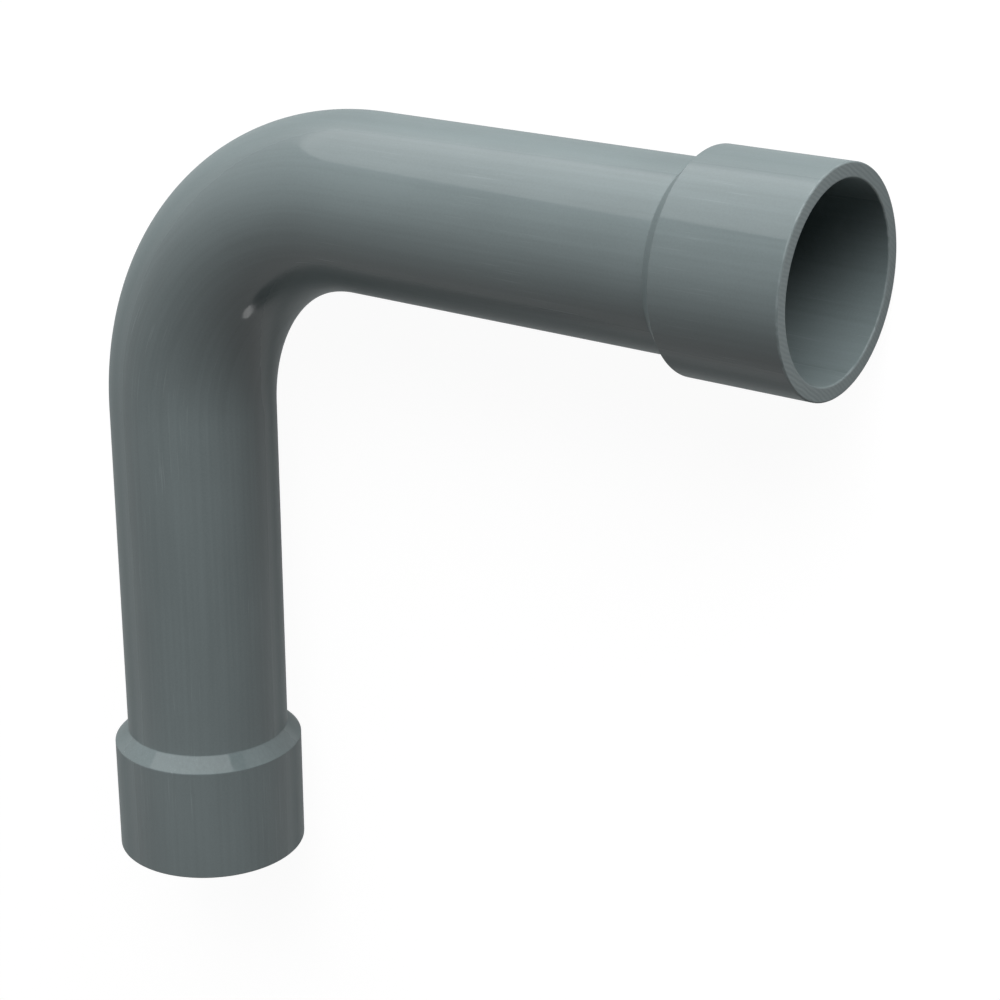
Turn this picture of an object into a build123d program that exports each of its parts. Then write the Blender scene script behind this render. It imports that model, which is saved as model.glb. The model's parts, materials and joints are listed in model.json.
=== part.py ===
from build123d import *

import os
from math import cos, radians, sin, sqrt, tan

# A conduit elbow: heavy-wall rigid PVC conduit bent through a quarter turn, with a belled socket on each leg.
# It lies flat. Leg A runs up +Y from its mouth at the origin, the bend turns towards +X, and leg B ends in the
# mouth that faces +X. All sizes are in millimetres.

# The conduit that the elbow is bent from
tube_diameter = 42.16  # outside, inch-and-a-quarter trade size
tube_wall = 3.56

# The quarter bend
bend_radius = 59.9  # of the tube's axis
centre_to_mouth = 182.3  # from the axis of one leg to the mouth of the other
wall_shift = 0.4  # how much the bending thins the outer wall and thickens the inner one, halfway round

# The belled socket on each leg
socket_clearance = 0.34  # on the diameter, around the end of the conduit that goes in
socket_depth = 28.5  # from the mouth to the stop
socket_wall = 3.37  # less than the tube's wall, because the bell is stretched over a mandrel
cone_angle = 45  # of the shoulder behind the bell and of the stop inside it, to the leg's axis
cone_corner = 0.5  # rounding where the cones meet the straight walls
mouth_chamfer = 0.4  # takes the burr off the saw-cut edges, inside and outside

# Radii of the walls
tube_radius = tube_diameter / 2
raceway_radius = tube_radius - tube_wall
socket_radius = tube_radius + socket_clearance / 2
bell_radius = socket_radius + socket_wall

# The shoulder starts so far behind the stop that the cone's wall is as thick as the tube's
angle = radians(cone_angle)
bell_length = socket_depth + (tube_wall - socket_wall * cos(angle)) / sin(angle)
neck = bell_length + (bell_radius - tube_radius) / tan(angle)
stop_end = socket_depth + (socket_radius - raceway_radius) / tan(angle)

# The raceway turns a little tighter than the tube, which carries it outwards by wall_shift halfway round
raceway_bend_radius = bend_radius - wall_shift / (sqrt(2) - 1)

# A plane on each leg, with its Y axis running from the mouth up the leg
leg_a = Plane(origin=(0, 0, 0), x_dir=(1, 0, 0), z_dir=(0, 0, 1))
leg_b = Plane(origin=(centre_to_mouth, centre_to_mouth, 0), x_dir=(0, 1, 0), z_dir=(0, 0, 1))

# Half outlines of a leg as steps of (radius, distance from the mouth), up to where the bend starts
tube_start = centre_to_mouth - bend_radius
outside = [(bell_radius, 0), (bell_radius, bell_length), (tube_radius, neck), (tube_radius, tube_start)]
raceway_start = centre_to_mouth - raceway_bend_radius
hollow = [
    (socket_radius, 0),
    (socket_radius, socket_depth),
    (raceway_radius, stop_end),
    (raceway_radius, raceway_start),
]

with BuildPart() as elbow:
    for outline, turn_radius, mode in (
        (outside, bend_radius, Mode.ADD),
        (hollow, raceway_bend_radius, Mode.SUBTRACT),
    ):
        end_radius, bend_start = outline[-1]

        # Both legs, turned about their axes
        for leg in (leg_a, leg_b):
            with BuildSketch(leg):
                with BuildLine():
                    corners = [0, 0, cone_corner, cone_corner, 0, 0]
                    FilletPolyline((0, 0), *outline, (0, bend_start), radius=corners, close=True)
                make_face()
            revolve(axis=Axis(leg.origin, leg.y_dir), mode=mode)

        # The end of leg A carried round to leg B
        with BuildSketch(Plane.XZ.offset(-bend_start)):
            Circle(end_radius)
        revolve(axis=Axis((turn_radius, bend_start, 0), (0, 0, -1)), revolution_arc=90, mode=mode)

    # The mouths are the only flat faces
    mouths = elbow.faces().filter_by(GeomType.PLANE)
    chamfer(mouths.edges(), mouth_chamfer)

elbow.part.label = "elbow"

os.makedirs("parts", exist_ok=True)
export_step(elbow.part, "parts/elbow.step")
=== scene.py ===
import json
from math import cos, pi, radians, sin, sqrt, tan

import bmesh
import bpy
from mathutils import Matrix, Vector


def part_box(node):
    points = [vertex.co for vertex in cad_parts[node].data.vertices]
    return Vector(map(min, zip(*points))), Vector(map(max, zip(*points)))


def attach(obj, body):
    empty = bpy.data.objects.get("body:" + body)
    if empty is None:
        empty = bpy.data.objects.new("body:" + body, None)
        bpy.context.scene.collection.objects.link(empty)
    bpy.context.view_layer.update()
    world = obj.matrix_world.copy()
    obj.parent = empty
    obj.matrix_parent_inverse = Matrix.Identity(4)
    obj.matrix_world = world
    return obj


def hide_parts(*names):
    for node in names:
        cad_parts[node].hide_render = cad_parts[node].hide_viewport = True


# A conduit elbow of grey rigid PVC: a quarter bend with a belled socket on each leg, lying flat on a pale
# floor. Leg A runs up +Y from its mouth at the origin, and leg B ends in the mouth that faces +X. Lengths are
# in metres.

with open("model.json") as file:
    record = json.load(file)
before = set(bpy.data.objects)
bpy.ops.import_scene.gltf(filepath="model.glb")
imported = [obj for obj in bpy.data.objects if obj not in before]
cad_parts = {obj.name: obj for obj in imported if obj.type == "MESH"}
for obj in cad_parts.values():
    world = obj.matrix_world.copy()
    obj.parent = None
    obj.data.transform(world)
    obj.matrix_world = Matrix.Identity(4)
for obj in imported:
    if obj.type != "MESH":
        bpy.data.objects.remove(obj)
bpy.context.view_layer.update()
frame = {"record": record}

MM = 0.001

# Sizes read from the frame
low_corner, high_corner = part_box("elbow")
bell_radius = high_corner.z
centre_to_mouth = high_corner.x
socket_radius = frame["record"]["mounts"][0]["dims"]["r_mm"] * MM

# Sizes of the conduit, the bend and the sockets
tube_radius = 21.08 * MM
tube_wall = 3.56 * MM
bend_radius = 59.9 * MM
wall_shift = 0.4 * MM  # how far the bending moves the raceway outwards, halfway round
socket_depth = 28.5 * MM
cone_angle = radians(45)
cone_corner = 0.5 * MM
mouth_corner = 0.4 * MM

# What the sizes above give
raceway_radius = tube_radius - tube_wall
socket_wall = bell_radius - socket_radius
bell_length = socket_depth + (tube_wall - socket_wall * cos(cone_angle)) / sin(cone_angle)
neck = bell_length + (bell_radius - tube_radius) / tan(cone_angle)
stop_end = socket_depth + (socket_radius - raceway_radius) / tan(cone_angle)
raceway_bend_radius = bend_radius - wall_shift / (sqrt(2) - 1)

# The mesh
segments = 192  # around the tube
bend_steps = 72
corner_steps = 5
large_face_weight = 100  # of the normals, so that the walls stay straight beside their rounded corners

# The PVC
pvc_dark = (0.145, 0.179, 0.183)
pvc_light = (0.176, 0.216, 0.221)
pvc_rubbed = (0.3, 0.34, 0.345)
pvc_ior = 1.5
pvc_specular = 0.25
pvc_roughness = 0.06
pvc_haze = 0.5  # more roughness where the surface is seen at a grazing angle
haze_range = (0.36, 0.66)  # where the haze comes in, from 0, seen square on, to 1, seen along the surface

# Detail of the PVC, as noise: the size of its lumps across the tube, what that is divided by to give their
# length, and the octaves
die_line_noise = (1.1 * MM, 0.012, 2)
cloud_noise = (22 * MM, 0.4, 3)
grain_noise = (0.5 * MM, 1, 2)
hair_line_noise = (0.35 * MM, 0.02, 1)
rubbed_noise = (14 * MM, 0.5, 2)
worn_noise = (3 * MM, 1, 2)
saw_noise = (4 * MM, 1, 2)

# The values of the noise between which each of these goes from nothing to full
full_range = (0.3, 0.7)
hair_line_range = (0.62, 0.72)
rubbed_range = (0.5, 0.66)
worn_range = (0.35, 0.65)

# The mouths: how far the cut face and its worn edge reach, and the marks of the saw
cut_reach = 0.05 * MM
worn_reach = (0.6 * MM, 0.3 * MM)
saw_pitch = 0.9 * MM
saw_wander = 6  # how far the noise turns the marks, in radians
blade_centre = (0.11, 0.07, 0)  # seen from leg A

# Each detail's share in the tone from dark to light, and how far it takes the colour to the rubbed one
cloud_tone = 0.52
die_line_tone = 0.28
grain_tone = 0.2
scuff_pale = 0.25
worn_pale = 0.35
cut_pale = 0.5
saw_pale = 0.08

# How much roughness each detail adds
die_line_roughness = 0.03
scuff_roughness = 0.15
cut_roughness = 0.3

# How high each detail stands, in metres
die_line_height = 2.2e-6
grain_height = 1e-6
scuff_height = -3e-6
saw_height = 9e-6

# The photograph's camera
camera_place = Vector((0.4032, 0.3031, 0.4111))
camera_target = Vector((0.1110, 0.1259, 0.0188))
picture_up = Vector((0, 1, 0))
camera_lens = 84.84  # in millimetres, as the sensor is
camera_sensor = 36

# The light on the elbow. Each lamp has the direction that it shines from, its distance, the angle from its
# middle to its edge as the elbow sees it, and its level, which is what a white card close to it would show.
# The side that is up in the picture is +Y
soft_box = ((0, 1, 0), 4.0, radians(48.4), 2.0)
key_light = ((0.43, 1, 0.55), 1.4, radians(24), 3.7)
fill_level = 0.06

# A small lamp in front of the bend, seen as the bright spot on its inner side
spot = ((0, -1, 0), 0.45, radians(4.3), 2.6)
spot_seen_from = Vector((0.0314, 0.1542, 0.0121))

# The floor. Its edge towards the soft box is near, so that the lower half of that lamp lights the elbow too
floor_edges = (-1.0, -1.0, 1.2, 0.27)  # west, south, east and north
floor_bounce = 0.25  # the grey that throws light on the elbow
floor_shaded = 0.12  # the grey that takes the shadow where the floor is seen
floor_glow = 0.95  # what makes it white there


def rounded(corners, radii, steps):
    """A polyline with the given corners, each replaced by an arc of its radius in so many steps."""
    points = [Vector(corners[0])]
    for before, corner, after, radius in zip(corners, corners[1:], corners[2:], radii):
        corner = Vector(corner)
        back = (Vector(before) - corner).normalized()
        ahead = (Vector(after) - corner).normalized()
        half = back.angle(ahead) / 2
        centre = corner + (back + ahead).normalized() * radius / sin(half)
        start = corner + back * radius / tan(half) - centre
        turn = start.angle_signed(corner + ahead * radius / tan(half) - centre)
        for step in range(steps + 1):
            points.append(centre + Matrix.Rotation(-turn * step / steps, 2) @ start)
    points.append(Vector(corners[-1]))
    return points


def wall_outline(mouth_radius, socket_end, leg_radius, leg_start):
    """One face of a leg's wall from its mouth, as (radius, distance from the mouth)."""
    middle_of_cut = ((socket_radius + bell_radius) / 2, 0)
    mouth = (mouth_radius, 0)
    leg_middle = (leg_radius, centre_to_mouth / 2)
    corners = [middle_of_cut, mouth, (mouth_radius, socket_end), (leg_radius, leg_start), leg_middle]
    return rounded(corners, [mouth_corner, cone_corner, cone_corner], corner_steps)


def wall_stations(outline, turn_radius):
    """Rings of one face from mouth A to mouth B, as (centre, direction, radius, distance along the tube)."""
    bend_start = centre_to_mouth - turn_radius
    bend_length = turn_radius * pi / 2
    leg_radius = outline[-1].x
    stations = [(Vector((0, d, 0)), Vector((0, 1, 0)), r, d) for r, d in outline]
    for step in range(bend_steps + 1):
        angle = pi / 2 * step / bend_steps
        centre = Vector((turn_radius * (1 - cos(angle)), bend_start + turn_radius * sin(angle), 0))
        direction = Vector((sin(angle), cos(angle), 0))
        stations.append((centre, direction, leg_radius, bend_start + turn_radius * angle))
    whole = 2 * bend_start + bend_length
    for r, d in reversed(outline):
        stations.append((Vector((centre_to_mouth - d, centre_to_mouth, 0)), Vector((1, 0, 0)), r, whole - d))
    return stations


def elbow_mesh():
    """The whole elbow as one closed mesh. Each vertex also keeps its place in the tube made straight."""
    outside = wall_outline(bell_radius, bell_length, tube_radius, neck)
    inside = wall_outline(socket_radius, socket_depth, raceway_radius, stop_end)
    stations = wall_stations(outside, bend_radius) + wall_stations(inside, raceway_bend_radius)[-2:0:-1]

    mesh = bpy.data.meshes.new("elbow_pvc")
    work = bmesh.new()
    straight = work.verts.layers.float_vector.new("straight_tube")
    from_mouth = work.verts.layers.float.new("from_mouth")
    rings = []
    for centre, direction, radius, distance in stations:
        side = direction.cross(Vector((0, 0, 1)))
        ring = []
        for step in range(segments):
            angle = 2 * pi * step / segments
            offset = side * cos(angle) + Vector((0, 0, 1)) * sin(angle)
            vertex = work.verts.new(centre + offset * radius)
            vertex[straight] = Vector((radius * cos(angle), radius * sin(angle), distance))
            vertex[from_mouth] = min(centre.y, centre_to_mouth - centre.x)
            ring.append(vertex)
        rings.append(ring)
    for ring, following in zip(rings, rings[1:] + rings[:1]):
        for step in range(segments):
            ahead = (step + 1) % segments
            corners = (ring[step], following[step], following[ahead], ring[ahead])
            work.faces.new(corners).smooth = True
    bmesh.ops.recalc_face_normals(work, faces=work.faces)
    work.to_mesh(mesh)
    work.free()
    return mesh


def maths(tree, operation, *inputs):
    """The output of a maths node. Each input is a number or a socket."""
    node = tree.nodes.new("ShaderNodeMath")
    node.operation = operation
    for socket, value in zip(node.inputs, inputs):
        if isinstance(value, bpy.types.NodeSocket):
            tree.links.new(value, socket)
        else:
            socket.default_value = value
    return node.outputs["Value"]


def total(tree, parts, start=None):
    """The sum of the given sockets, each times its factor, on top of a start."""
    for socket, factor in parts:
        if start is None:
            start = maths(tree, "MULTIPLY", socket, factor)
        else:
            start = maths(tree, "MULTIPLY_ADD", socket, factor, start)
    return start


def ramp(tree, value, start, end, low=0.0, high=1.0):
    """A value that goes smoothly from low to high while the given one goes from start to end."""
    node = tree.nodes.new("ShaderNodeMapRange")
    node.interpolation_type = "SMOOTHSTEP"
    tree.links.new(value, node.inputs["Value"])
    for name, number in zip(("From Min", "From Max", "To Min", "To Max"), (start, end, low, high)):
        node.inputs[name].default_value = number
    return node.outputs["Result"]


def stretched(tree, vector, factors):
    """A vector with each part multiplied by its factor."""
    node = tree.nodes.new("ShaderNodeVectorMath")
    node.operation = "MULTIPLY"
    tree.links.new(vector, node.inputs[0])
    node.inputs[1].default_value = factors
    return node.outputs["Vector"]


def noise(tree, place, size, along, octaves):
    """Noise from 0 to 1, with lumps of about the given size across the tube, and size / along in length."""
    node = tree.nodes.new("ShaderNodeTexNoise")
    tree.links.new(stretched(tree, place, (1, 1, along)), node.inputs["Vector"])
    node.inputs["Scale"].default_value = 1 / size
    node.inputs["Detail"].default_value = octaves
    return node.outputs["Fac"]


def attribute(tree, name, output):
    """A value that the mesh keeps at each vertex."""
    node = tree.nodes.new("ShaderNodeAttribute")
    node.attribute_name = name
    return node.outputs[output]


def mixed(tree, factor, first, second):
    """A colour between two, each a colour or a socket."""
    node = tree.nodes.new("ShaderNodeMix")
    node.data_type = "RGBA"
    tree.links.new(factor, node.inputs["Factor"])
    for socket, colour in zip((node.inputs[6], node.inputs[7]), (first, second)):
        if isinstance(colour, bpy.types.NodeSocket):
            tree.links.new(colour, socket)
        else:
            socket.default_value = (*colour, 1)
    return node.outputs[2]


def saw_arcs(tree, place, cut):
    """The arcs that a circular saw leaves on the cut faces, from -1 to 1."""
    blade = tree.nodes.new("ShaderNodeVectorMath")
    blade.operation = "DISTANCE"
    tree.links.new(stretched(tree, place, (1, 1, 0)), blade.inputs[0])
    blade.inputs[1].default_value = blade_centre
    wander = noise(tree, place, *saw_noise)
    teeth = total(tree, [(blade.outputs["Value"], 2 * pi / saw_pitch), (wander, saw_wander)])
    return maths(tree, "MULTIPLY", maths(tree, "SINE", teeth), cut)


def pvc_material():
    """Grey rigid PVC, with the faint lengthwise lines that the die leaves, a slightly cloudy pigment, light
    scuffs along the tube, and mouths cut with a circular saw. Its gloss is hazier at grazing angles."""
    material = bpy.data.materials.new("rigid_pvc")
    material.use_nodes = True
    tree = material.node_tree
    shader = tree.nodes["Principled BSDF"]
    shader.inputs["IOR"].default_value = pvc_ior
    shader.inputs["Specular IOR Level"].default_value = pvc_specular

    place = attribute(tree, "straight_tube", "Vector")
    from_mouth = attribute(tree, "from_mouth", "Fac")
    die_lines = noise(tree, place, *die_line_noise)
    clouds = noise(tree, place, *cloud_noise)
    grain = noise(tree, place, *grain_noise)

    # Scuffs are where long thin lines meet patches that have rubbed on something
    hair_lines = ramp(tree, noise(tree, place, *hair_line_noise), *hair_line_range)
    rubbed = ramp(tree, noise(tree, place, *rubbed_noise), *rubbed_range)
    scuffs = maths(tree, "MULTIPLY", hair_lines, rubbed)

    # The cut faces have no distance from the mouth, and their rounded edges a little
    cut = ramp(tree, from_mouth, 0, cut_reach, 1, 0)
    edge = maths(tree, "SUBTRACT", ramp(tree, from_mouth, *worn_reach), cut)
    worn = maths(tree, "MULTIPLY", edge, ramp(tree, noise(tree, place, *worn_noise), *worn_range))
    saw_marks = saw_arcs(tree, place, cut)

    # Colour
    tone = total(tree, [(clouds, cloud_tone), (die_lines, die_line_tone), (grain, grain_tone)])
    colour = mixed(tree, ramp(tree, tone, *full_range), pvc_dark, pvc_light)
    pale = total(tree, [(cut, cut_pale), (saw_marks, saw_pale)])
    for detail, strength in ((scuffs, scuff_pale), (worn, worn_pale)):
        pale = maths(tree, "MAXIMUM", pale, maths(tree, "MULTIPLY", detail, strength))
    tree.links.new(mixed(tree, pale, colour, pvc_rubbed), shader.inputs["Base Color"])

    # Gloss
    slant = tree.nodes.new("ShaderNodeLayerWeight").outputs["Facing"]
    rough_parts = [
        (ramp(tree, die_lines, *full_range), die_line_roughness),
        (scuffs, scuff_roughness),
        (maths(tree, "MAXIMUM", cut, worn), cut_roughness),
        (ramp(tree, slant, *haze_range), pvc_haze),
    ]
    tree.links.new(total(tree, rough_parts, pvc_roughness), shader.inputs["Roughness"])

    # Relief
    relief_parts = [
        (die_lines, die_line_height),
        (grain, grain_height),
        (scuffs, scuff_height),
        (saw_marks, saw_height),
    ]
    bump = tree.nodes.new("ShaderNodeBump")
    bump.inputs["Distance"].default_value = 1
    tree.links.new(total(tree, relief_parts), bump.inputs["Height"])
    tree.links.new(bump.outputs["Normal"], shader.inputs["Normal"])
    return material


def elbow():
    """The elbow in place of the CAD node."""
    piece = bpy.data.objects.new("elbow_pvc", elbow_mesh())
    bpy.context.collection.objects.link(piece)
    piece.data.materials.append(pvc_material())
    normals = piece.modifiers.new("Weighted normals", "WEIGHTED_NORMAL")
    normals.weight = large_face_weight
    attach(piece, "root")
    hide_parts("elbow")


def white_rays(tree):
    """A socket that is 1 for what the camera sees, directly, mirrored or through glass, and else 0."""
    path = tree.nodes.new("ShaderNodeLightPath").outputs
    mirrored = maths(tree, "MAXIMUM", path["Is Glossy Ray"], path["Is Transmission Ray"])
    return maths(tree, "MAXIMUM", path["Is Camera Ray"], mirrored)


def lit_and_seen(tree, lighting, seen, output):
    """Gives an output one shader where it lights the elbow, and another where it is seen."""
    mix = tree.nodes.new("ShaderNodeMixShader")
    tree.links.new(white_rays(tree), mix.inputs["Fac"])
    tree.links.new(lighting, mix.inputs[1])
    tree.links.new(seen, mix.inputs[2])
    tree.links.new(mix.outputs["Shader"], tree.nodes[output].inputs["Surface"])


def matte_grey(tree, level):
    """A diffuse shader of the given grey."""
    node = tree.nodes.new("ShaderNodeBsdfDiffuse")
    node.inputs["Color"].default_value = (level, level, level, 1)
    return node.outputs["BSDF"]


def floor_material():
    """White with a soft shadow where it is seen, and grey in how it lights the elbow, so that the underside
    stays as dark as in the photograph."""
    material = bpy.data.materials.new("floor")
    material.use_nodes = True
    tree = material.node_tree
    tree.nodes.remove(tree.nodes["Principled BSDF"])
    glow = tree.nodes.new("ShaderNodeEmission")
    glow.inputs["Strength"].default_value = floor_glow
    shown = tree.nodes.new("ShaderNodeAddShader")
    tree.links.new(matte_grey(tree, floor_shaded), shown.inputs[0])
    tree.links.new(glow.outputs["Emission"], shown.inputs[1])
    lit_and_seen(tree, matte_grey(tree, floor_bounce), shown.outputs["Shader"], "Material Output")
    return material


def floor():
    """A pale floor under the elbow."""
    mesh = bpy.data.meshes.new("floor")
    height = low_corner.z
    west, south, east, north = floor_edges
    corners = [(west, south, height), (east, south, height), (east, north, height), (west, north, height)]
    mesh.from_pydata(corners, [], [(0, 1, 2, 3)])
    mesh.materials.append(floor_material())
    piece = bpy.data.objects.new("floor", mesh)
    bpy.context.collection.objects.link(piece)


def camera():
    """The camera at the photograph's viewpoint."""
    data = bpy.data.cameras.new("camera")
    data.lens = camera_lens
    data.sensor_width = camera_sensor
    piece = bpy.data.objects.new("camera", data)
    bpy.context.collection.objects.link(piece)
    forward = (camera_target - camera_place).normalized()
    right = forward.cross(picture_up).normalized()
    up = right.cross(forward)
    turn = Matrix((right, up, -forward)).transposed().to_4x4()
    piece.matrix_world = Matrix.Translation(camera_place) @ turn
    bpy.context.scene.camera = piece


def round_lamp(name, aim, direction, distance, angle, level):
    """A round lamp that faces the point it aims at. Its level doesn't depend on its size."""
    radius = distance * tan(angle)
    data = bpy.data.lights.new(name, "AREA")
    data.shape = "DISK"
    data.size = 2 * radius
    data.energy = level * pi * pi * radius ** 2
    piece = bpy.data.objects.new(name, data)
    bpy.context.collection.objects.link(piece)
    towards = Vector(direction).normalized()
    turn = towards.to_track_quat("Z", "Y").to_matrix().to_4x4()
    piece.matrix_world = Matrix.Translation(aim + towards * distance) @ turn
    return piece


def lamps():
    """The soft box and the spot, which also show in reflections, and the key light, which doesn't."""
    middle = (low_corner + high_corner) / 2
    round_lamp("soft_box", middle, *soft_box)
    round_lamp("key_light", middle, *key_light).visible_glossy = False
    round_lamp("spot", spot_seen_from, *spot)


def studio():
    """A little light all round, and plain white where it is seen."""
    world = bpy.data.worlds.new("studio")
    bpy.context.scene.world = world
    world.use_nodes = True
    tree = world.node_tree
    fill = tree.nodes["Background"]
    fill.inputs["Color"].default_value = (1, 1, 1, 1)
    fill.inputs["Strength"].default_value = fill_level
    white = tree.nodes.new("ShaderNodeBackground")
    white.inputs["Color"].default_value = (1, 1, 1, 1)
    lit_and_seen(tree, fill.outputs["Background"], white.outputs["Background"], "World Output")


elbow()
floor()
camera()
lamps()
studio()
bpy.context.scene.view_settings.view_transform = "Standard"
